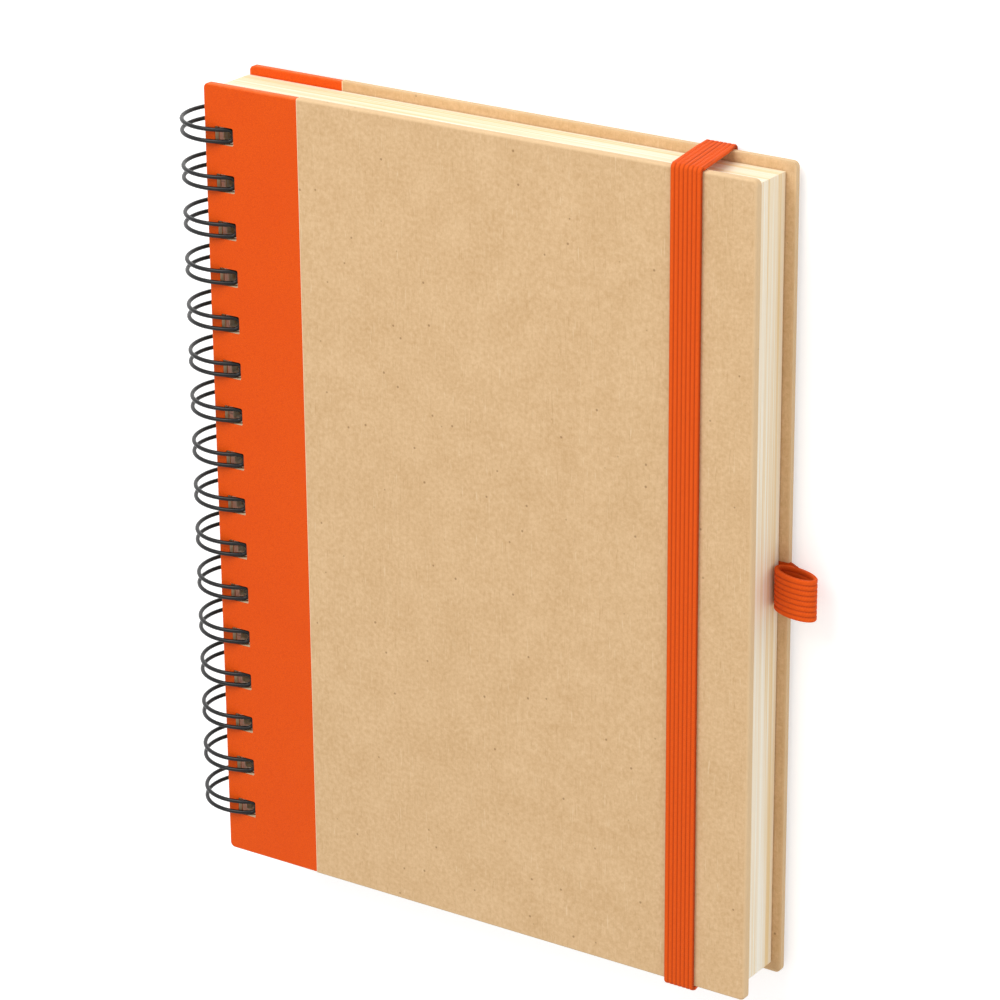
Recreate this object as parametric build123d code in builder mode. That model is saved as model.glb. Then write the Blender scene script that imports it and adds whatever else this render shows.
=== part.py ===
"""A twin-loop wire-bound notebook with hard covers, lying closed on its back cover.

X runs from the spine to the fore edge, Y up the page and Z out of the front cover. The origin is the
centre of the bottom of the bounding box, so z = 0 is the surface that the wire loops touch.
"""
import os
from math import atan, cos, radians, sin, sqrt, tau

from build123d import *

os.makedirs("parts", exist_ok=True)

# ---------------------------------------------------------------- driving dimensions, in mm
cover_width = 164.0  # spine edge to fore edge
cover_height = 217.5  # tail to head
cover_corner = 1.6  # corner radius of a cover, seen from above
board_thick = 1.65
paper_thick = 0.35  # covering paper, outside and turned in
cloth_thick = 0.20  # spine cloth
liner_thick = 0.20
spine_strip = 29.7  # width of the cloth, from the spine edge
turn_in = 14.0  # how far paper and cloth fold over onto the inner face
liner_inset = 3.0  # bare border left around the liner
edge_round = 0.6  # rounding of the cover's long edges

pages_thick = 15.7
pages_fore_inset = 2.8  # how far the covers overhang the pages at the fore edge
pages_end_inset = 2.6  # and at the head and the tail

loop_count = 16
loop_pitch = 12.7  # 2:1 pitch, two loops to the inch
wire_dia = 1.1
wire_spacing = 3.15  # centre to centre of the two wires of one loop
loop_stand_off = 1.25  # covers' outer faces to the wire's centre, at the loop's top and bottom
loop_axis_out = 0.2  # how far the loop's axis stands outside the spine edge
flat_round = 3.0  # bend between the straight side and the round back
root_bend = 1.2  # bend from the straight side into the root between two loops
tip_depth = 1.1  # front cover's outer face to a loop's closed tip

hole_width = 5.8  # across the page
hole_height = 4.8  # along the spine
hole_corner = 0.5
hole_margin = 3.45  # spine edge to the holes

wire_side_gap = 0.55  # wire's straight side to the far edge of the holes
binding_slack = 1.8  # extra room over the pages, at the spine

band_width = 8.5
band_thick = 1.0
band_front_margin = 14.75  # fore edge to the band on the front cover
band_skew = 3.3  # how much nearer the spine the band lies on the back cover
band_return = 12.0  # length of each run on the back cover, before its slot
band_tail = 10.0  # length glued in under the liner

pen_loop_width = 11.2  # along the fore edge
pen_loop_thick = 1.1
pen_loop_long = 5.8  # half the long way across the loop's opening
pen_loop_short = 2.1  # half the short way across
pen_loop_tilt = 16.0  # degrees that the outer end stands up from the cover's plane
pen_loop_standoff = 4.6  # fore edge to the loop's centre
pen_loop_rise = 6.3  # back cover's outer face to the loop's centre
pen_loop_tail = 14.0  # length glued in under the liner

# ---------------------------------------------------------------- clearances, in mm
face_gap = 0.1  # between flat faces that only rest on each other
root_gap = 0.3  # around the wire's root, under the front cover
slot_gap = 0.15  # around the elastic where it goes through the back cover

# ---------------------------------------------------------------- worked out from the above
cover_thick = paper_thick + board_thick + liner_thick
bound_thick = pages_thick + 2 * cover_thick + face_gap + binding_slack  # outer face to outer face
pages_width = cover_width - pages_fore_inset
pages_height = cover_height - 2 * pages_end_inset

wire_r = wire_dia / 2
loop_radius = bound_thick / 2 + loop_stand_off  # to the wire's centre
loop_outer = loop_radius + wire_r
loop_flat = loop_axis_out + hole_margin + hole_width - wire_side_gap - wire_r
tip_rise = bound_thick / 2 - tip_depth  # over the loop's axis
pen_tilt = radians(pen_loop_tilt)
pen_outer_long = pen_loop_long + pen_loop_thick
pen_outer_short = pen_loop_short + pen_loop_thick
pen_loop_reach = sqrt((pen_outer_long * cos(pen_tilt)) ** 2 + (pen_outer_short * sin(pen_tilt)) ** 2)
pen_loop_drop = sqrt((pen_outer_long * sin(pen_tilt)) ** 2 + (pen_outer_short * cos(pen_tilt)) ** 2)

overall_width = loop_outer + loop_axis_out + cover_width + pen_loop_standoff + pen_loop_reach
axis_x = loop_outer - overall_width / 2
axis_z = loop_outer
spine_x = axis_x + loop_axis_out
back_face_z = axis_z - bound_thick / 2

pages_base_z = back_face_z + cover_thick + face_gap
pages_top_z = pages_base_z + pages_thick

# The wire's root needs room over the pages, so the front cover leans down onto their fore edge.
inner_face_rise = bound_thick / 2 - cover_thick
pages_reach = pages_width + loop_axis_out
lean = atan((axis_z + inner_face_rise - pages_top_z - face_gap) / pages_reach)
root_z = axis_z + inner_face_rise - loop_flat * sin(lean) - root_gap - wire_r

hole_x = hole_margin + hole_width / 2
covering_back = board_thick + paper_thick  # depth of the covering's turned-in face

band_back_x = spine_x + cover_width - band_front_margin - band_skew - band_width
band_front_x = band_back_x + band_skew
band_slot_y = cover_height / 2 - band_return
pen_loop_x = spine_x + cover_width + pen_loop_standoff
pen_loop_z = back_face_z + pen_loop_rise


def front_face_z(x):
    """Height of the leaning front cover's outer face at x."""
    return axis_z + (bound_thick / 2 - sin(lean) * (x - axis_x)) / cos(lean)


# Each cover is built on its own seat: the plane of its outer face, with z into the book and its
# origin at the middle of the spine edge.
back_seat = Plane(origin=(spine_x, 0, back_face_z), x_dir=(1, 0, 0), z_dir=(0, 0, 1))
along_cover = Vector(cos(lean), 0, -sin(lean))
out_of_cover = Vector(sin(lean), 0, cos(lean))
front_seat = Plane(
    origin=Vector(axis_x, 0, axis_z) + out_of_cover * (bound_thick / 2) + along_cover * loop_axis_out,
    x_dir=along_cover,
    z_dir=-out_of_cover,
)


def keep(piece, name):
    """Label a finished piece and write it to its own STEP file."""
    piece.part.label = name
    export_step(piece.part, f"parts/{name}.step")


# ---------------------------------------------------------------- covers
def cover_outline(inset):
    """A cover's outline, drawn in by inset all round, in a sketch at the seat's origin."""
    with Locations((cover_width / 2, 0)):
        RectangleRounded(cover_width - 2 * inset, cover_height - 2 * inset, cover_corner - inset)


def cut_binding_holes(seat, depth):
    """Cut the row of binding holes through the part being built."""
    with BuildSketch(seat) as holes:
        with Locations((hole_x, 0)):
            with GridLocations(0, loop_pitch, 1, loop_count):
                RectangleRounded(hole_width, hole_height, hole_corner)
    extrude(holes.sketch, amount=depth, mode=Mode.SUBTRACT)


def cut_elastic_seats(seat):
    """Cut the back cover's slots and shallow seats for the band's ends and the pen loop's tail."""
    slot_x = band_back_x - spine_x + band_width / 2
    slot_width = band_width + 2 * slot_gap
    with BuildSketch(seat) as slots:
        with Locations((slot_x, band_slot_y), (slot_x, -band_slot_y)):
            Rectangle(slot_width, band_thick + 2 * slot_gap)
    extrude(slots.sketch, amount=covering_back, mode=Mode.SUBTRACT)
    tail_middle = band_slot_y - band_tail / 2
    with BuildSketch(seat.offset(covering_back - band_thick)) as band_seats:
        with Locations((slot_x, tail_middle), (slot_x, -tail_middle)):
            Rectangle(slot_width, band_tail)
    extrude(band_seats.sketch, amount=band_thick, mode=Mode.SUBTRACT)
    with BuildSketch(seat.offset(covering_back - pen_loop_thick)) as pen_loop_seat:
        with Locations((cover_width - pen_loop_tail, 0)):
            Rectangle(2 * pen_loop_tail, pen_loop_width, align=(Align.MIN, Align.CENTER))
    extrude(pen_loop_seat.sketch, amount=pen_loop_thick, mode=Mode.SUBTRACT)


def cover_board(seat, holds_elastic):
    """The grey board, pressed down by the covering's thickness where that turns in."""
    with BuildPart() as board:
        with BuildSketch(seat.offset(paper_thick)):
            cover_outline(paper_thick)
        extrude(amount=board_thick)
        outer_face = board.faces().sort_by(Axis(seat.origin, seat.z_dir))[0]
        fillet(outer_face.edges(), edge_round - paper_thick)
        for start, end, skin in ((0, spine_strip, cloth_thick), (spine_strip, cover_width, paper_thick)):
            with BuildSketch(seat.offset(covering_back - skin)):
                with Locations((start, 0)):
                    Rectangle(end - start, cover_height, align=(Align.MIN, Align.CENTER))
                with Locations((cover_width / 2, 0)):
                    Rectangle(cover_width - 2 * turn_in, cover_height - 2 * turn_in, mode=Mode.SUBTRACT)
            extrude(amount=skin, mode=Mode.SUBTRACT)
        cut_binding_holes(seat, cover_thick)
        if holds_elastic:
            cut_elastic_seats(seat)
    return board


def covering(seat, board, start, end, skin, holds_elastic):
    """Paper or cloth over the board from x = start to x = end, wrapped round its edges."""
    lower = paper_thick - skin  # how far a thinner skin lies below the paper
    with BuildPart() as wrap:
        with BuildSketch(seat.offset(lower)):
            cover_outline(lower)
        extrude(amount=covering_back - lower)
        fillet(wrap.faces().sort_by(Axis(seat.origin, seat.z_dir))[0].edges(), edge_round - lower)
        with BuildSketch(seat):
            with Locations((start, 0)):
                Rectangle(end - start, 2 * cover_height, align=(Align.MIN, Align.CENTER))
        extrude(amount=cover_thick, mode=Mode.INTERSECT)
        add(board.part, mode=Mode.SUBTRACT)
        with BuildSketch(seat.offset(paper_thick)):
            with Locations((cover_width / 2, 0)):
                Rectangle(cover_width - 2 * turn_in, cover_height - 2 * turn_in)
        extrude(amount=board_thick, mode=Mode.SUBTRACT)
        cut_binding_holes(seat, cover_thick)
        if holds_elastic:
            cut_elastic_seats(seat)
    return wrap


def cover_liner(seat):
    """The sheet pasted over the inner face."""
    with BuildPart() as liner:
        with BuildSketch(seat.offset(covering_back)):
            with Locations((cover_width / 2, 0)):
                Rectangle(cover_width - 2 * liner_inset, cover_height - 2 * liner_inset)
        extrude(amount=liner_thick)
        with BuildSketch(seat.offset(covering_back)):
            with Locations((hole_x, 0)):
                with GridLocations(0, loop_pitch, 1, loop_count):
                    RectangleRounded(hole_width, hole_height, hole_corner)
        extrude(amount=liner_thick, mode=Mode.SUBTRACT)
    return liner


for side, seat, holds_elastic in (("front", front_seat, False), ("back", back_seat, True)):
    board = cover_board(seat, holds_elastic)
    keep(board, f"{side}_board")
    keep(covering(seat, board, spine_strip, cover_width, paper_thick, holds_elastic), f"{side}_cover_paper")
    keep(covering(seat, board, 0, spine_strip, cloth_thick, holds_elastic), f"{side}_spine_cloth")
    keep(cover_liner(seat), f"{side}_liner")

# ---------------------------------------------------------------- pages
with BuildPart() as page_block:
    pages_seat = Plane(origin=(spine_x, 0, pages_base_z))
    with BuildSketch(pages_seat):
        Rectangle(pages_width, pages_height, align=(Align.MIN, Align.CENTER))
    extrude(amount=pages_thick)
    cut_binding_holes(pages_seat, pages_thick)
keep(page_block, "page_block")

# ---------------------------------------------------------------- wire binding
# Half of one loop runs from the middle of its closed tip, over the round back, down through the pages'
# straight side and out along the root to half way to the next loop. Its mirror image is the other half.
half_spacing = wire_spacing / 2
tip_across = sqrt(loop_radius**2 - tip_rise**2)
round_end = Vector(tip_across, 0, tip_rise)  # from the loop's axis
tip_direction = Vector(tip_rise, 0, -tip_across) / loop_radius
bend_across = loop_flat - flat_round
bend_drop = sqrt((loop_radius - flat_round) ** 2 - bend_across**2)
round_start = Vector(bend_across, 0, -bend_drop) * (loop_radius / (loop_radius - flat_round))
bend_middle = Vector(bend_across, 0, -bend_drop) + Vector(cos(tau / 14), 0, -sin(tau / 14)) * flat_round
axis_point = Vector(axis_x, 0, axis_z)
beside = Vector(0, half_spacing, 0)
root_rise = root_z - axis_z

with BuildPart() as half_wire:
    with BuildLine() as half_loop:
        tip_corner = axis_point + round_end + beside
        tip = TangentArc(
            axis_point + round_end + tip_direction * half_spacing, tip_corner, tangent=(0, 1, 0)
        )
        round_back = ThreePointArc(
            tip_corner,
            axis_point + Vector(-loop_radius, 0, 0) + beside,
            axis_point + round_start + beside,
        )
        lower_bend = TangentArc(
            round_back @ 1,
            axis_point + Vector(loop_flat, 0, -bend_drop) + beside,
            tangent=round_back % 1,
        )
        flat_side = Line(
            lower_bend @ 1, axis_point + Vector(loop_flat, half_spacing, root_rise - root_bend)
        )
        upper_bend = TangentArc(
            flat_side @ 1,
            axis_point + Vector(loop_flat, half_spacing + root_bend, root_rise),
            tangent=flat_side % 1,
        )
        root = Line(upper_bend @ 1, axis_point + Vector(loop_flat, loop_pitch / 2, root_rise))
    with BuildSketch(Plane(origin=tip @ 0, z_dir=tip % 0)):
        Circle(wire_r)
    sweep(path=half_loop.wires()[0])
    wire_length = half_loop.wires()[0].length
print(f"half a loop: {wire_length:.2f} mm of wire, {half_wire.part.volume:.3f} mm3")
print(f"section times length: {wire_length * wire_r**2 * tau / 2:.3f} mm3")

with BuildPart() as one_loop:
    add(half_wire.part)
    mirror(about=Plane.XZ)

with BuildPart() as wire_binding:
    with GridLocations(0, loop_pitch, 1, loop_count):
        add(one_loop.part)
keep(wire_binding, "wire_binding")

# ---------------------------------------------------------------- elastic band
# Its front run lies along the leaning cover and its ends go through the back cover, under the liner.
band_out_y = cover_height / 2 + face_gap
band_outer_y = band_out_y + band_thick
band_low_z = back_face_z - face_gap - band_thick
tail_low_z = back_face_z + covering_back - band_thick
tail_top_z = tail_low_z + band_thick
front_near_z = front_face_z(band_front_x) + face_gap
front_far_z = front_face_z(band_front_x + band_width) + face_gap

with BuildPart() as elastic_band:
    with BuildSketch(Plane.XZ) as front_run:
        Polygon(
            (band_front_x, front_near_z),
            (band_front_x + band_width, front_far_z),
            (band_front_x + band_width, front_far_z + band_thick),
            (band_front_x, front_near_z + band_thick),
            align=None,
        )
    extrude(amount=band_outer_y, both=True)
    with BuildSketch(Plane.XZ.offset(band_out_y)) as edge_run:
        Polygon(
            (band_back_x, band_low_z),
            (band_back_x + band_width, band_low_z),
            (band_back_x + band_width, back_face_z - face_gap),
            (band_front_x + band_width, front_far_z),
            (band_front_x + band_width, front_far_z + band_thick),
            (band_front_x, front_near_z + band_thick),
            (band_front_x, front_near_z),
            (band_back_x, back_face_z - face_gap),
            align=None,
        )
    extrude(amount=band_thick)
    with BuildSketch(Plane.YZ.offset(band_back_x)) as back_run:
        Polygon(
            (-band_outer_y, band_low_z),
            (-band_slot_y + band_thick / 2, band_low_z),
            (-band_slot_y + band_thick / 2, tail_low_z),
            (-band_slot_y + band_tail, tail_low_z),
            (-band_slot_y + band_tail, tail_top_z),
            (-band_slot_y - band_thick / 2, tail_top_z),
            (-band_slot_y - band_thick / 2, back_face_z - face_gap),
            (-band_outer_y, back_face_z - face_gap),
            align=None,
        )
    extrude(amount=band_width)
    mirror(about=Plane.XZ)
keep(elastic_band, "elastic_band")

# ---------------------------------------------------------------- pen loop
# The loop is an oval leaning out from the fore edge, on a root that rises from the glued tail.
tail_end_x = spine_x + cover_width - pen_loop_tail
fore_edge_x = spine_x + cover_width
tail_bottom_z = back_face_z + covering_back - pen_loop_thick
root_near_x = spine_x + pages_width + root_gap

with BuildPart() as pen_loop:
    with BuildSketch(Plane.XZ):
        with Locations((pen_loop_x, pen_loop_z)):
            Ellipse(pen_outer_long, pen_outer_short, rotation=pen_loop_tilt)
        Polygon(
            (tail_end_x, tail_bottom_z),
            (fore_edge_x, tail_bottom_z),
            (pen_loop_x - pen_outer_short, pen_loop_z - pen_loop_drop + pen_loop_thick / 5),
            (pen_loop_x - pen_loop_reach + pen_loop_thick / 2, pen_loop_z - pen_outer_short / 2),
            (root_near_x, tail_bottom_z + pen_loop_thick),
            (tail_end_x, tail_bottom_z + pen_loop_thick),
            align=None,
        )
        with Locations((pen_loop_x, pen_loop_z)):
            Ellipse(pen_loop_long, pen_loop_short, rotation=pen_loop_tilt, mode=Mode.SUBTRACT)
    extrude(amount=pen_loop_width / 2, both=True)
keep(pen_loop, "pen_loop")
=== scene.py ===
# %% [markdown]
# # A wire-bound notebook
# The notebook has two hard covers in kraft paper with a strip of orange book cloth along the spine, a block
# of cream pages, a black twin-loop wire, an elastic band that holds it shut and an elastic loop for a pen.
# Covers, pages and wire arrive as exact solids, so they only need their finishes. The two elastic pieces
# are modelled here, because their ribs and soft bends are what makes them look like elastic.

# %% Load the solids and keep their outer box
from math import atan2, cos, pi, radians, sin

import bpy
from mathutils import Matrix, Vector


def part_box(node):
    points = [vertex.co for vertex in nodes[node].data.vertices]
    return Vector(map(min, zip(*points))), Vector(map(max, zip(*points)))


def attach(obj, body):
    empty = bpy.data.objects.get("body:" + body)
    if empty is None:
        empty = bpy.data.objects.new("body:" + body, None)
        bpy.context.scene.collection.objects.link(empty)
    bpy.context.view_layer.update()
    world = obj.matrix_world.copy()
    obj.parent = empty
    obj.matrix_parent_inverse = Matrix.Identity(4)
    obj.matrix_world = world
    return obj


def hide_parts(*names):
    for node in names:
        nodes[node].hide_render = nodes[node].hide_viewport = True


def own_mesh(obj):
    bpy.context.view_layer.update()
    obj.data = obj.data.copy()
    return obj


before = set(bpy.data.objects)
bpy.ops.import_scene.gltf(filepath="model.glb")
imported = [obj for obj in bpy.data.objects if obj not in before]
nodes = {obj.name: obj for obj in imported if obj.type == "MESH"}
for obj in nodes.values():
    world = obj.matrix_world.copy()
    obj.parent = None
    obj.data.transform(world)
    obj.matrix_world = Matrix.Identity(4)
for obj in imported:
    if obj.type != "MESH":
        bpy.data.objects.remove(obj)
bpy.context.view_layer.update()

for name in sorted(nodes):
    print(f"{name}: {len(nodes[name].data.polygons)} triangles")

# %% [markdown]
# ## Units and places
# Blender counts in metres and a stationer counts in millimetres, so one number turns one into the other.
# Places are read from the solids' boxes, so everything made here lands on the notebook.

# %% Measure the notebook
mm = 0.001
back_low, back_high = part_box("back_cover_paper")
cloth_low, cloth_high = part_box("back_spine_cloth")
pages_low, pages_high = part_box("page_block")
spine_x, cloth_end_x, fore_edge_x = cloth_low[0], back_low[0], back_high[0]
cover_half = back_high[1]
print(f"cover {(fore_edge_x - spine_x) / mm:.1f} x {2 * cover_half / mm:.1f} mm")
pages_thick = pages_high[2] - pages_low[2]
print(f"cloth strip {(cloth_end_x - spine_x) / mm:.1f} mm, pages {pages_thick / mm:.1f} mm thick")

# %% [markdown]
# ## Helpers
# Colours are written as the hex values that a colour picker shows, and shading is worked out in linear
# light, so one function turns one into the other. A second one adds a shader node with its settings and its
# links, and the four nodes used most have a short call each.

# %% Hex colour to linear
def linear(hex_colour):
    """Linear red, green, blue and alpha of an sRGB hex colour."""
    channels = [int(hex_colour[i : i + 2], 16) / 255 for i in (1, 3, 5)]
    return [c / 12.92 if c <= 0.04045 else ((c + 0.055) / 1.055) ** 2.4 for c in channels] + [1.0]


print("kraft in linear light:", [round(c, 3) for c in linear("#DAB78A")])


# %% Add one node
def put(tree, kind, inputs=None, **settings):
    """Add a node, with its settings, and feed each input from a socket or with a plain value."""
    node = tree.nodes.new(kind)
    for setting, value in settings.items():
        setattr(node, setting, value)
    for socket, value in (inputs or {}).items():
        if isinstance(value, bpy.types.NodeSocket):
            tree.links.new(value, node.inputs[socket])
        else:
            node.inputs[socket].default_value = value
    return node


# %% Common nodes
def calc(tree, operation, *values):
    """The result of one sum on sockets and plain numbers."""
    return put(tree, "ShaderNodeMath", dict(enumerate(values)), operation=operation).outputs[0]


def remap(tree, value, span=(0.0, 1.0), result=(0.0, 1.0)):
    """A value that goes from one end of result to the other as its input crosses span."""
    ends = {"From Min": span[0], "From Max": span[1], "To Min": result[0], "To Max": result[1]}
    return put(tree, "ShaderNodeMapRange", {"Value": value, **ends}).outputs["Result"]


def blend(tree, share, first, second):
    """The first colour where share is 0 and the second where it is 1."""
    return put(tree, "ShaderNodeMix", {0: share, 6: first, 7: second}, data_type="RGBA").outputs[2]


def noise(tree, place, size, detail, roughness=0.5, distortion=0.0):
    """Cloudy noise whose largest patches are about size across."""
    shape = {"Detail": detail, "Roughness": roughness, "Distortion": distortion}
    return put(tree, "ShaderNodeTexNoise", {"Vector": place, "Scale": 1 / size, **shape}).outputs["Fac"]


# %% Start a finish
def start_finish(name, roughness):
    """A new material with a plain shader: the material, its node tree, the shader and the coordinates."""
    finish = bpy.data.materials.new(name)
    finish.use_nodes = True
    tree = finish.node_tree
    tree.nodes.clear()
    shader = put(tree, "ShaderNodeBsdfPrincipled", {"Roughness": roughness})
    put(tree, "ShaderNodeOutputMaterial", {"Surface": shader.outputs["BSDF"]})
    place = put(tree, "ShaderNodeTexCoord")
    return finish, tree, shader, place.outputs["Object"]


def dress(node_name, finish):
    """Give a carried-over solid its finish."""
    nodes[node_name].data.materials.clear()
    nodes[node_name].data.materials.append(finish)
    print(f"{node_name} wears {finish.name}")


# %% [markdown]
# ## Camera
# A long lens from above the fore edge and the head keeps the covers' edges nearly parallel.

# %% Set the camera
lens = bpy.data.cameras.new("camera")
lens.lens = 144.506
lens.sensor_width = 36
lens.clip_end = 20
camera = bpy.data.objects.new("camera", lens)
camera.location = (0.54227, 0.38397, 0.80251)
camera.rotation_euler = (radians(-21.7581), radians(34.1671), radians(-0.5472))
bpy.context.scene.collection.objects.link(camera)
bpy.context.scene.camera = camera
print("camera stands", round(camera.location.length, 3), "m from the notebook")

# %% [markdown]
# ## Floor, light and backdrop
# The floor is matt white card. Towards the camera it also glows a little, so it shows as white, and the
# notebook's own soft shadow still falls on it. Neither adds any light to the notebook.

# %% Lay the floor
bpy.ops.object.select_all(action="DESELECT")
bpy.ops.mesh.primitive_plane_add(size=6, location=(0, 0, 0))
floor = bpy.context.object
floor.name = "floor"
card, tree, shader, place = start_finish("white_floor_card", 0.9)
shader.inputs["Base Color"].default_value = linear("#EDEDED")
shader.inputs["Specular IOR Level"].default_value = 0.1
ray = put(tree, "ShaderNodeLightPath")
seen = calc(tree, "MAXIMUM", ray.outputs["Is Camera Ray"], ray.outputs["Is Glossy Ray"])
seen = calc(tree, "MAXIMUM", seen, ray.outputs["Is Transmission Ray"])
glow = calc(tree, "MULTIPLY", seen, 0.45)
shader.inputs["Emission Color"].default_value = linear("#FFFFFF")
tree.links.new(glow, shader.inputs["Emission Strength"])
floor.data.materials.append(card)
print("floor is 6 m square")

# %% Light the room
world = bpy.data.worlds.new("studio")
bpy.context.scene.world = world
world.use_nodes = True
tree = world.node_tree
tree.nodes.clear()
ray = put(tree, "ShaderNodeLightPath")
seen = calc(tree, "MAXIMUM", ray.outputs["Is Camera Ray"], ray.outputs["Is Glossy Ray"])
seen = calc(tree, "MAXIMUM", seen, ray.outputs["Is Transmission Ray"])
level = remap(tree, seen, result=(0.62, 1.0))
sky = put(tree, "ShaderNodeBackground", {"Color": linear("#FFFFFF"), "Strength": level})
put(tree, "ShaderNodeOutputWorld", {"Surface": sky.outputs["Background"]})
bpy.context.scene.view_settings.view_transform = "Standard"


def soft_box(name, place, size, power):
    """A square area lamp that faces the notebook."""
    lamp = bpy.data.lights.new(name, "AREA")
    lamp.shape, lamp.size, lamp.energy = "SQUARE", size, power
    holder = bpy.data.objects.new(name, lamp)
    holder.location = place
    holder.rotation_euler = Vector(place).to_track_quat("Z", "Y").to_euler()
    bpy.context.scene.collection.objects.link(holder)
    print(f"{name}: {power} W from {place}")


soft_box("head_light", (-0.4, 1.5, 1.2), 1.2, 24)
soft_box("fore_light", (1.6, -0.2, 0.9), 1.2, 5)

# %% [markdown]
# ## Kraft covering paper
# Kraft is unbleached pulp, so it is a warm brown with cloudy patches, pale and dark fibres, and a few
# specks. It is matt. Where it folds round the board a paler band is painted on as a highlight, and its cut
# edge, along the cloth, shows as a thin pale line. Real fibres are about 0.03 mm wide, too fine to see
# here, so they are drawn about five times as wide.

# %% Kraft clouds, fibres and specks
cloud_mm, mottle_mm, fibre_mm, speck_mm = 11.0, 1.1, 0.16, 1.8
kraft, tree, shader, place = start_finish("kraft_covering_paper", 0.78)
clouds = noise(tree, place, cloud_mm * mm, 3.0)
mottle = noise(tree, place, mottle_mm * mm, 4.0, roughness=0.7)
patches = calc(tree, "MULTIPLY_ADD", clouds, 0.35, mottle)
tone = remap(tree, patches, span=(0.45, 0.90))
colour = blend(tree, tone, linear("#CEA879"), linear("#E3C094"))
for turn, tint, share in ((0.5, "#B58A58", 0.35), (2.2, "#F0D8B2", 0.40), (1.3, "#A87C4A", 0.25)):
    lie = put(tree, "ShaderNodeMapping", {"Vector": place, "Rotation": (0, 0, turn), "Scale": (1, 0.07, 1)})
    fibre = noise(tree, lie.outputs[0], 2 * fibre_mm * mm, 1.0, distortion=0.6)
    strand = remap(tree, fibre, span=(0.66, 0.78), result=(0.0, share))
    colour = blend(tree, strand, colour, linear(tint))
cells = put(tree, "ShaderNodeTexVoronoi", {"Vector": place, "Scale": 1 / (3 * speck_mm * mm)})
dots = remap(tree, cells.outputs["Distance"], span=(0.045, 0.075), result=(0.55, 0.0))
colour = blend(tree, dots, colour, linear("#7A5228"))
print("kraft has", len(tree.nodes), "nodes so far")

# %% [markdown]
# The painted highlight along the folds and the pale cut edge follow the cover's outline, so they are worked
# out from the place of each point: how far it is from the fore edge, from the head or the tail, and from
# the cloth.

# %% Kraft's edges
across = put(tree, "ShaderNodeSeparateXYZ", {"Vector": place})
from_fore = calc(tree, "SUBTRACT", fore_edge_x, across.outputs["X"])
out_y = calc(tree, "ABSOLUTE", across.outputs["Y"])
from_head = calc(tree, "SUBTRACT", cover_half, out_y)
from_edge = calc(tree, "MINIMUM", from_fore, from_head)
# painted highlight: the kraft is made paler within about a millimetre of the fore, head and tail edges
highlight_reach = calc(tree, "MULTIPLY_ADD", mottle, 1.1 * mm, from_edge)
edge_highlight = remap(tree, highlight_reach, span=(0.35 * mm, 1.3 * mm), result=(0.55, 0.0))
highlighted = blend(tree, edge_highlight, colour, linear("#EBCFA6"))
from_cloth = calc(tree, "SUBTRACT", across.outputs["X"], cloth_end_x)
cut = remap(tree, from_cloth, span=(0.18 * mm, 0.34 * mm), result=(0.8, 0.0))
edged = blend(tree, cut, highlighted, linear("#F6DDB8"))
tree.links.new(edged, shader.inputs["Base Color"])

grain = noise(tree, place, 0.35 * mm, 3.0)
felt = put(tree, "ShaderNodeBump", {"Height": grain, "Distance": 0.03 * mm, "Strength": 0.5})
tree.links.new(felt.outputs[0], shader.inputs["Normal"])
shader.inputs["Specular IOR Level"].default_value = 0.25
shine = remap(tree, mottle, result=(0.70, 0.86))
tree.links.new(shine, shader.inputs["Roughness"])
for name in ("front_cover_paper", "back_cover_paper"):
    dress(name, kraft)

# %% [markdown]
# ## Orange book cloth
# The spine strip is a coated book cloth, pressed with a very fine leather grain. The coating gives it a
# slight sheen, and along the folded edges a paler band is painted on as a highlight. The grain's cells are
# about 0.4 mm.

# %% Book cloth
grain_mm = 0.42
cloth, tree, shader, place = start_finish("coated_book_cloth", 0.55)
shader.inputs["Specular IOR Level"].default_value = 0.2
grain_scale = {"Vector": place, "Scale": 1 / (grain_mm * mm)}
cells = put(tree, "ShaderNodeTexVoronoi", grain_scale, feature="DISTANCE_TO_EDGE")
creases = noise(tree, place, 1.4 * mm, 3.0)
drift = noise(tree, place, 22 * mm, 2.0)
pit = remap(tree, cells.outputs["Distance"], span=(0.0, 0.22))
base = blend(tree, drift, linear("#E75100"), linear("#EF5D00"))
pitted = blend(tree, pit, linear("#DE4B00"), base)
across = put(tree, "ShaderNodeSeparateXYZ", {"Vector": place})
from_spine = calc(tree, "SUBTRACT", across.outputs["X"], spine_x)
out_y = calc(tree, "ABSOLUTE", across.outputs["Y"])
from_head = calc(tree, "SUBTRACT", cover_half, out_y)
from_edge = calc(tree, "MINIMUM", from_spine, from_head)
# painted highlight: the cloth is made paler along the spine fold and the head and tail edges
highlight_reach = calc(tree, "MULTIPLY_ADD", creases, 0.9 * mm, from_edge)
edge_highlight = remap(tree, highlight_reach, span=(0.4 * mm, 1.2 * mm), result=(0.45, 0.0))
highlighted = blend(tree, edge_highlight, pitted, linear("#FF8A45"))
tree.links.new(highlighted, shader.inputs["Base Color"])
height = calc(tree, "MULTIPLY_ADD", creases, 0.6, pit)
press = put(tree, "ShaderNodeBump", {"Height": height, "Distance": 0.04 * mm, "Strength": 0.5})
tree.links.new(press.outputs[0], shader.inputs["Normal"])
for name in ("front_spine_cloth", "back_spine_cloth"):
    dress(name, cloth)

# %% [markdown]
# ## Binder's board and liner paper
# The board is pressed waste paper. Only its punched and cut edges show, in the binding holes, as pale
# fluffy layers. The sheet pasted inside the covers is the same kraft as outside, calmer and without the
# painted edge highlight.

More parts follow.
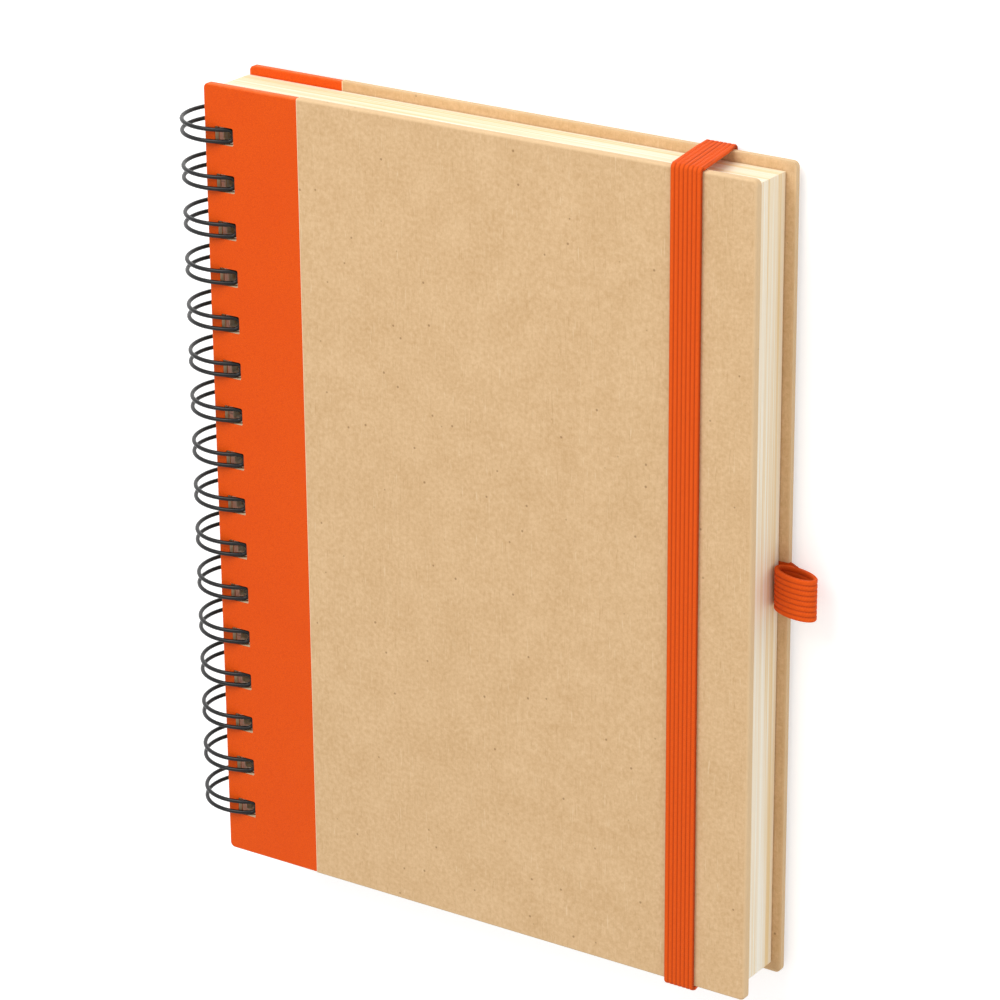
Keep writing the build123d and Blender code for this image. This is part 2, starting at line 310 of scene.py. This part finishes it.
# %% Board
board, tree, shader, place = start_finish("binders_board", 0.92)
lie = put(tree, "ShaderNodeMapping", {"Vector": place, "Scale": (0.25, 0.25, 1)})
plies = noise(tree, lie.outputs[0], 0.3 * mm, 3.0)
pulp = blend(tree, plies, linear("#C8A981"), linear("#F3D9B8"))
fluff = put(tree, "ShaderNodeBump", {"Height": plies, "Distance": 0.05 * mm, "Strength": 0.6})
tree.links.new(pulp, shader.inputs["Base Color"])
tree.links.new(fluff.outputs[0], shader.inputs["Normal"])
for name in ("front_board", "back_board"):
    dress(name, board)

# %% Liner
liner, tree, shader, place = start_finish("kraft_liner_paper", 0.82)
clouds = noise(tree, place, 9 * mm, 5.0, roughness=0.65)
tone = remap(tree, clouds, span=(0.35, 0.65))
brown = blend(tree, tone, linear("#CBA474"), linear("#DDBA8C"))
lie = put(tree, "ShaderNodeMapping", {"Vector": place, "Rotation": (0, 0, 0.9), "Scale": (1, 0.07, 1)})
fibre = noise(tree, lie.outputs[0], 2 * fibre_mm * mm, 1.0)
strand = remap(tree, fibre, span=(0.66, 0.78), result=(0.0, 0.3))
laid = blend(tree, strand, brown, linear("#A98151"))
felt = put(tree, "ShaderNodeBump", {"Height": clouds, "Distance": 0.05 * mm, "Strength": 0.3})
tree.links.new(laid, shader.inputs["Base Color"])
tree.links.new(felt.outputs[0], shader.inputs["Normal"])
for name in ("front_liner", "back_liner"):
    dress(name, liner)

# %% [markdown]
# ## Pages
# The pages are uncoated cream paper, trimmed together with a guillotine. A sheet is about 0.1 mm thick, too
# fine to show, so sheets are drawn in bundles of three. Each bundle takes its tone from its height in the
# block. The trimmed edges face sideways, and the faces up or down, so the direction a point faces picks its
# colour.

# %% Cream paper and its trimmed edges
bundle_mm = 0.32
cream, tree, shader, place = start_finish("uncoated_cream_paper", 0.85)
across = put(tree, "ShaderNodeSeparateXYZ", {"Vector": place})
wander = put(tree, "ShaderNodeMapping", {"Vector": place, "Scale": (0.006, 0.006, 1)})
bundles = noise(tree, wander.outputs[0], 2 * bundle_mm * mm, 2.0, roughness=0.7)
wide = noise(tree, wander.outputs[0], 4.5 * mm, 1.0)
tone = calc(tree, "ADD", bundles, wide)
ramp = remap(tree, tone, span=(0.78, 1.15))
edge_tone = blend(tree, ramp, linear("#F3D6A2"), linear("#FFF9EA"))
facing = put(tree, "ShaderNodeTexCoord")
normal = put(tree, "ShaderNodeSeparateXYZ", {"Vector": facing.outputs["Normal"]})
flat = calc(tree, "ABSOLUTE", normal.outputs["Z"])
is_face = calc(tree, "GREATER_THAN", flat, 0.9)
tooth = noise(tree, place, 0.5 * mm, 3.0)
face_tone = blend(tree, tooth, linear("#FAEFD6"), linear("#FEF7E4"))
print("paper bundles are drawn", bundle_mm, "mm thick")

# %% [markdown]
# The faces of the first and last sheets carry plain grey ruling, which shows when a cover is opened.

# %% Ruling and bump
rule_mm = 7.1
row = calc(tree, "DIVIDE", across.outputs["Y"], rule_mm * mm)
step = calc(tree, "FRACT", row)
off = calc(tree, "SUBTRACT", step, 0.5)
off = calc(tree, "ABSOLUTE", off)
on_line = calc(tree, "LESS_THAN", off, 0.03)
out_y = calc(tree, "ABSOLUTE", across.outputs["Y"])
inside = calc(tree, "LESS_THAN", out_y, pages_high[1] - 14 * mm)
printed = calc(tree, "MULTIPLY", on_line, inside)
ink = calc(tree, "MULTIPLY", printed, 0.45)
ruled = blend(tree, ink, face_tone, linear("#9A9A98"))
paper = blend(tree, is_face, edge_tone, ruled)
ridge = put(tree, "ShaderNodeMix", {0: is_face, 2: bundles, 3: tooth})
leaf = put(tree, "ShaderNodeBump", {"Height": ridge.outputs[0], "Distance": 0.06 * mm, "Strength": 0.5})
tree.links.new(paper, shader.inputs["Base Color"])
tree.links.new(leaf.outputs[0], shader.inputs["Normal"])
dress("page_block", cream)

# %% [markdown]
# ## Coated wire
# The binding is steel wire in a black nylon coat. The coat is satin, slightly uneven from dipping, and
# reflects the room as a soft grey line along each loop.

# %% Wire
coat, tree, shader, place = start_finish("nylon_coated_wire", 0.32)
shader.inputs["IOR"].default_value = 1.53
shader.inputs["Specular IOR Level"].default_value = 0.3
dips = noise(tree, place, 0.8 * mm, 2.0)
black = blend(tree, dips, linear("#060606"), linear("#101011"))
gloss = remap(tree, dips, result=(0.24, 0.42))
skin = put(tree, "ShaderNodeBump", {"Height": dips, "Distance": 0.02 * mm, "Strength": 0.3})
tree.links.new(black, shader.inputs["Base Color"])
tree.links.new(gloss, shader.inputs["Roughness"])
tree.links.new(skin.outputs[0], shader.inputs["Normal"])
dress("wire_binding", coat)

# %% [markdown]
# ## Woven elastic
# The band and the pen loop are the same woven elastic: rubber cords side by side, each wrapped in orange
# polyester, so the tape has ribs along its length with grooves between them, and fine threads across.
# The ribs are modelled, and shade in the grooves is painted: each point carries, in an attribute, whether
# it lies on a rib or in a groove, which colours the grooves darker. The threads follow the piece's own map,
# where v runs along the tape in metres.

# %% Elastic finish
thread_mm = 0.55
elastic, tree, shader, place = start_finish("woven_polyester_elastic", 0.68)
shader.inputs["Specular IOR Level"].default_value = 0.2
rib = put(tree, "ShaderNodeAttribute", attribute_name="rib_light_level")
tape = put(tree, "ShaderNodeUVMap", uv_map="tape")
run = put(tree, "ShaderNodeSeparateXYZ", {"Vector": tape.outputs["UV"]})
phase = calc(tree, "MULTIPLY", run.outputs["Y"], 2 * pi / (thread_mm * mm))
side = calc(tree, "MULTIPLY", run.outputs["X"], 2 * pi / (1.2 * mm))
phase = calc(tree, "ADD", phase, side)
thread = calc(tree, "SINE", phase)
fuzz = noise(tree, place, 0.6 * mm, 3.0)
# painted shade: grooves between the ribs get a dark colour, ribs the bright orange
groove = blend(tree, rib.outputs["Fac"], linear("#8E2A00"), linear("#F05A02"))
lit = remap(tree, thread, span=(-1.0, 1.0), result=(0.0, 0.18))
woven = blend(tree, lit, groove, linear("#FF8A40"))
fuzzed = blend(tree, fuzz, woven, linear("#D84A00"))
height = calc(tree, "MULTIPLY_ADD", thread, 0.5, fuzz)
weave = put(tree, "ShaderNodeBump", {"Height": height, "Distance": 0.05 * mm, "Strength": 0.5})
tree.links.new(fuzzed, shader.inputs["Base Color"])
tree.links.new(weave.outputs[0], shader.inputs["Normal"])
print("threads across the elastic every", thread_mm, "mm")

# %% [markdown]
# ## The elastic band's cross-section
# The band starts as a plane the size of its cross-section, standing in the middle of the front run. Cuts
# across its width give every rib four points, and pinching the points between ribs makes the grooves.

# %% Selecting by place
def edit(piece):
    """Make a piece the only selected one and open it in edit mode, with nothing in it selected."""
    if bpy.context.object.mode != "OBJECT":
        bpy.ops.object.mode_set(mode="OBJECT")
    bpy.ops.object.select_all(action="DESELECT")
    piece.select_set(True)
    bpy.context.view_layer.objects.active = piece
    bpy.ops.object.mode_set(mode="EDIT")
    bpy.ops.mesh.select_all(action="DESELECT")


def choose(piece, points_at):
    """In edit mode, select the points whose place answers True, and the edges and faces between them."""
    bpy.ops.object.mode_set(mode="OBJECT")
    for part in (piece.data.vertices, piece.data.edges, piece.data.polygons):
        part.foreach_set("select", [False] * len(part))
    chosen = [points_at(v.co) for v in piece.data.vertices]
    piece.data.vertices.foreach_set("select", chosen)
    for e in piece.data.edges:
        e.select = all(chosen[i] for i in e.vertices)
    for f in piece.data.polygons:
        f.select = all(chosen[i] for i in f.vertices)
    bpy.ops.object.mode_set(mode="EDIT")
    return sum(chosen)


# %% Band sizes
band_low, band_high = (Vector(corner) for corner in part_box("elastic_band"))
band_width, band_thick, bend_in = 8.5 * mm, 1.0 * mm, 0.25 * mm
rib_count, groove_depth = 7, 0.20 * mm
under_run, slot_rise = 12.0 * mm, 1.2 * mm
skew = band_high.x - band_low.x - band_width
front_x = band_high.x - band_width / 2
bend_mid = bend_in + band_thick / 2
lean = 0.0105  # the front cover falls this much per metre towards the fore edge, in metres
print(f"band {band_width / mm:.1f} mm wide, {skew / mm:.2f} mm nearer the spine on the back")

# %% Band cross-section
bpy.ops.object.select_all(action="DESELECT")
top_z = band_high.z - band_thick / 2
bpy.ops.mesh.primitive_plane_add(size=1, location=(front_x, 0, top_z), rotation=(pi / 2, 0, 0))
band = bpy.context.object
band.name = "ribbed_elastic_band"
band.scale = (band_width, band_thick, 1)
bpy.ops.object.transform_apply(location=True, rotation=True, scale=True)
edit(band)
bpy.ops.mesh.select_mode(type="VERT")
bpy.ops.mesh.select_all(action="SELECT")
rib_step = band_width / (4 * rib_count)
for i in range(1, 4 * rib_count):
    cut_x = front_x - band_width / 2 + i * rib_step
    bpy.ops.mesh.select_all(action="SELECT")
    bpy.ops.mesh.bisect(plane_co=(cut_x, 0, 0), plane_no=(1, 0, 0))
bpy.ops.object.mode_set(mode="OBJECT")
print("cross-section has", len(band.data.vertices), "points")


# %% Pinch the grooves
def between_ribs(value, start, step):
    """True at the points between ribs, four steps apart, and at both edges of the tape."""
    return abs(((value - start) / (4 * step) + 0.5) % 1 - 0.5) < 0.05


band_start = front_x - band_width / 2
edit(band)
for side in (1, -1):
    choose(band, lambda p: between_ribs(p.x, band_start, rib_step) and (p.z - top_z) * side > 0)
    bpy.ops.transform.translate(value=(0, 0, -side * groove_depth))
bpy.ops.object.mode_set(mode="OBJECT")
print("grooves are", round(groove_depth / mm, 2), "mm deep")

# %% [markdown]
# ## Running the band round the book
# The cross-section is extruded along the front, spun round the head edge, extruded down past the fore side
# of the pages, spun under the back cover, and spun once more up into its slot. Only one half is made: the
# other is its mirror image. On the edge the tape spreads a little, as elastic does where it is pulled round
# a corner.

# %% Front run and head edge
spread = 1.06
head_y = band_high.y - band_thick - bend_in
slot_y = head_y - under_run + bend_in
low_z = band_low.z + band_thick / 2
bpy.context.scene.cursor.location = (0, 0, 0)
edit(band)
bpy.ops.mesh.select_all(action="SELECT")
for _ in range(6):
    bpy.ops.mesh.extrude_region_move(TRANSFORM_OT_translate={"value": (0, head_y / 6, 0)})
bpy.ops.mesh.spin(steps=6, angle=pi / 2, center=(0, head_y, top_z - bend_mid), axis=(1, 0, 0))
bpy.ops.transform.resize(value=(spread, 1, 1), center_override=(front_x, 0, 0))
print("after the head edge the tape ends at", [round(v / mm, 2) for v in band.dimensions])

# %% Down the edge, under the back cover and into the slot
drop = (top_z - bend_mid) - (low_z + bend_mid)
for _ in range(4):
    bpy.ops.mesh.extrude_region_move(TRANSFORM_OT_translate={"value": (-skew / 4, 0, -drop / 4)})
bpy.ops.transform.resize(value=(1 / spread, 1, 1), center_override=(front_x - skew, 0, 0))
bpy.ops.mesh.spin(steps=6, angle=pi / 2, center=(0, head_y, low_z + bend_mid), axis=(1, 0, 0))
bpy.ops.mesh.extrude_region_move(TRANSFORM_OT_translate={"value": (0, slot_y - head_y + bend_mid, 0)})
bpy.ops.mesh.spin(steps=5, angle=pi / 2, center=(0, slot_y + bend_mid, low_z + bend_mid), axis=(-1, 0, 0))
bpy.ops.mesh.extrude_region_move(TRANSFORM_OT_translate={"value": (0, 0, slot_rise)})
bpy.ops.object.mode_set(mode="OBJECT")
ends = [v.co for v in band.data.vertices if v.select]
print("the end is at", [round(c / mm, 2) for c in ends[0]] if ends else "nothing selected")
low = [round(min(v.co[k] for v in band.data.vertices) / mm, 2) for k in range(3)]
high = [round(max(v.co[k] for v in band.data.vertices) / mm, 2) for k in range(3)]
print("half the band fills", low, high)

# %% [markdown]
# The front cover leans a little towards the fore edge, so the front run tilts with it, and less and less
# towards the back. Then the cap in the middle goes, and the half is mirrored and welded.

# %% Tilt, mirror and weld
for v in band.data.vertices:
    share = (v.co.z - low_z) / (top_z - low_z)
    v.co.z -= lean * share * max(0, v.co.x - (front_x - band_width / 2))
edit(band)
choose(band, lambda p: abs(p.y) < 0.01 * mm)
bpy.ops.mesh.delete(type="ONLY_FACE")
bpy.ops.object.mode_set(mode="OBJECT")
bpy.ops.object.modifier_add(type="MIRROR")
band.modifiers[-1].use_axis = (False, True, False)
bpy.ops.object.modifier_apply(modifier=band.modifiers[-1].name)
edit(band)
bpy.ops.mesh.select_all(action="SELECT")
bpy.ops.mesh.remove_doubles(threshold=0.001 * mm)
bpy.ops.mesh.normals_make_consistent(inside=False)
bpy.ops.object.mode_set(mode="OBJECT")
bpy.ops.object.shade_smooth_by_angle(angle=radians(50))
print("band has", len(band.data.polygons), "faces")


# %% [markdown]
# ## Rib shading and the tape's map
# One function stores, at every point, whether it lies on a rib or in a groove, which paints shade into the
# grooves, and gives the piece a map whose u runs across the tape and v along it.

# %% Write rib shading and the map
def map_tape(piece, height_at, across, along):
    """Store at each point whether it is on a rib or in a groove, which paints shade into the grooves, and a
    map with u across and v along the tape, in metres.
    """
    heights = piece.data.attributes.new("rib_light_level", "FLOAT", "POINT")
    heights.data.foreach_set("value", [height_at(v.co) for v in piece.data.vertices])
    tape_map = piece.data.uv_layers.new(name="tape")
    for loop in piece.data.loops:
        point = piece.data.vertices[loop.vertex_index].co
        tape_map.data[loop.index].uv = (across(point), along(point))
    piece.data.materials.clear()
    piece.data.materials.append(elastic)
    print(piece.name, "rises and falls at", sum(1 for h in heights.data if h.value < 0.5), "groove points")


def band_across(p):
    """Place across the band, which shifts towards the spine as it goes down to the back."""
    share = min(1, max(0, (top_z - bend_mid - p.z) / drop))
    return p.x - band_start + skew * share


def band_rib_light(p):
    """0 in a groove, where shade is painted, and 1 on a rib."""
    return 0.0 if between_ribs(band_across(p), 0, rib_step) else 1.0


map_tape(band, band_rib_light, band_across, lambda p: abs(p.y) - p.z)
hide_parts("elastic_band")
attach(band, "back")

# %% [markdown]
# ## Pen loop
# The pen loop is a wider tape, folded into an oval that leans out from the fore edge, with both ends glued
# under the liner. The oval starts as a circle and is extruded along the fore edge rib by rib. Solidify
# gives it its wall, and the tail is a second strip that grows out of the cover and meets the oval's
# underside.

# %% Oval rings
loop_low, loop_high = (Vector(corner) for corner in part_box("pen_loop"))
loop_wall, half_long, half_short, loop_tilt = 1.05 * mm, 6.35 * mm, 2.65 * mm, 16.0
outer_reach, outer_rise = 6.691 * mm, 3.617 * mm  # from the oval's middle to its outer end and to its top
loop_x, loop_z = loop_high.x - outer_reach, loop_high.z - outer_rise
loop_width, loop_ribs = loop_high.y - loop_low.y, 8
loop_step = loop_width / (4 * loop_ribs)
bpy.ops.object.select_all(action="DESELECT")
loop_start = (loop_x, loop_low.y, loop_z)
bpy.ops.mesh.primitive_circle_add(vertices=72, radius=1, location=loop_start, rotation=(pi / 2, 0, 0))
pen_loop = bpy.context.object
pen_loop.name = "ribbed_pen_loop"
pen_loop.scale = (half_long, half_short, 1)
bpy.ops.object.transform_apply(location=False, rotation=True, scale=True)
pen_loop.rotation_euler = (0, -radians(loop_tilt), 0)
bpy.ops.object.transform_apply(location=True, rotation=True, scale=True)
edit(pen_loop)
bpy.ops.mesh.select_all(action="SELECT")
for _ in range(4 * loop_ribs):
    bpy.ops.mesh.extrude_edges_move(TRANSFORM_OT_translate={"value": (0, loop_step, 0)})
bpy.ops.mesh.select_all(action="SELECT")
bpy.ops.mesh.normals_make_consistent(inside=False)
bpy.ops.object.mode_set(mode="OBJECT")
print("oval fills", [round(d / mm, 2) for d in pen_loop.dimensions])

# %% Give the oval its wall and its grooves
bpy.ops.object.modifier_add(type="SOLIDIFY")
pen_loop.modifiers[-1].thickness = loop_wall
pen_loop.modifiers[-1].offset = 0
bpy.ops.object.modifier_apply(modifier=pen_loop.modifiers[-1].name)
turn = radians(loop_tilt)


def oval_reach(p):
    """1 on the middle of the oval's wall, more outside it and less inside."""
    x, z = p.x - loop_x, p.z - loop_z
    along = (x * cos(turn) + z * sin(turn)) / half_long
    up = (z * cos(turn) - x * sin(turn)) / half_short
    return (along**2 + up**2) ** 0.5


edit(pen_loop)
bpy.ops.mesh.select_mode(type="VERT")
for outside in (True, False):
    choose(pen_loop, lambda p: between_ribs(p.y, loop_low.y, loop_step) and (oval_reach(p) > 1) == outside)
    bpy.ops.transform.shrink_fatten(value=-groove_depth)
bpy.ops.object.mode_set(mode="OBJECT")
print("pen loop wall", round(loop_wall / mm, 2), "mm")

# %% [markdown]
# The tail is one plane the size of the tape's section, cut into ribs as the band was. It is extruded into
# the cover one way and, bending upwards, under the oval the other way.

# %% Tail
tail_thick, covering_depth, tail_inset, tail_length = 1.1 * mm, 2.0 * mm, 0.4 * mm, 13.4 * mm
tail_z = back_low[2] + covering_depth - tail_thick / 2
edge_x = fore_edge_x - tail_inset
bpy.ops.object.select_all(action="DESELECT")
bpy.ops.mesh.primitive_plane_add(size=1, location=(edge_x, 0, tail_z), rotation=(0, pi / 2, 0))
tail = bpy.context.object
tail.scale = (tail_thick, loop_width, 1)
bpy.ops.object.transform_apply(location=True, rotation=True, scale=True)
edit(tail)
for i in range(1, 4 * loop_ribs):
    bpy.ops.mesh.select_all(action="SELECT")
    bpy.ops.mesh.bisect(plane_co=(0, loop_low.y + i * loop_step, 0), plane_no=(0, 1, 0))
for side in (1, -1):
    choose(tail, lambda p: between_ribs(p.y, loop_low.y, loop_step) and (p.z - tail_z) * side > 0)
    bpy.ops.transform.translate(value=(0, 0, -side * groove_depth))
bpy.ops.mesh.select_all(action="SELECT")
for x_step, z_step in ((0.9, 0.15), (0.9, 0.45), (0.9, 0.62), (1.0, 0.55)):
    bpy.ops.mesh.extrude_region_move(TRANSFORM_OT_translate={"value": (x_step * mm, 0, z_step * mm)})
bpy.ops.object.mode_set(mode="OBJECT")
print("tail reaches", round(max(v.co.x for v in tail.data.vertices) / mm, 2), "mm")

# %% Push the tail into the cover and join it to the oval
edit(tail)
choose(tail, lambda p: abs(p.x - edge_x) < 0.01 * mm)
bpy.ops.mesh.extrude_region_move(TRANSFORM_OT_translate={"value": (-tail_length, 0, 0)})
bpy.ops.mesh.select_all(action="SELECT")
bpy.ops.mesh.normals_make_consistent(inside=False)
bpy.ops.object.mode_set(mode="OBJECT")
bpy.ops.object.select_all(action="DESELECT")
tail.select_set(True)
pen_loop.select_set(True)
bpy.context.view_layer.objects.active = pen_loop
bpy.ops.object.join()
bpy.ops.object.shade_smooth_by_angle(angle=radians(50))


def along_loop(p):
    """Distance round the oval, measured from its tilt, or along the tail."""
    if p.x < loop_x - half_long:
        return p.x
    return half_short * 2.2 * atan2(p.z - loop_z, p.x - loop_x)


def loop_rib_light(p):
    """Grooves are 0 and ribs 1, and ribs on the loop's inside are given 0.45, which paints shade inside the
    oval.
    """
    if between_ribs(p.y, loop_low.y, loop_step):
        return 0.0
    # painted shade: ribs on the inside of the oval are darkened towards the groove colour
    return 0.45 if p.x > loop_x - half_long and oval_reach(p) < 1 else 1.0


map_tape(pen_loop, loop_rib_light, lambda p: p.y, along_loop)
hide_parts("pen_loop")
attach(pen_loop, "back")
print("pen loop has", len(pen_loop.data.polygons), "faces")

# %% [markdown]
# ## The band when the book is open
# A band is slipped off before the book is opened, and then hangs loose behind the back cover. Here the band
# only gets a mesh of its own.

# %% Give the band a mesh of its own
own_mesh(band)
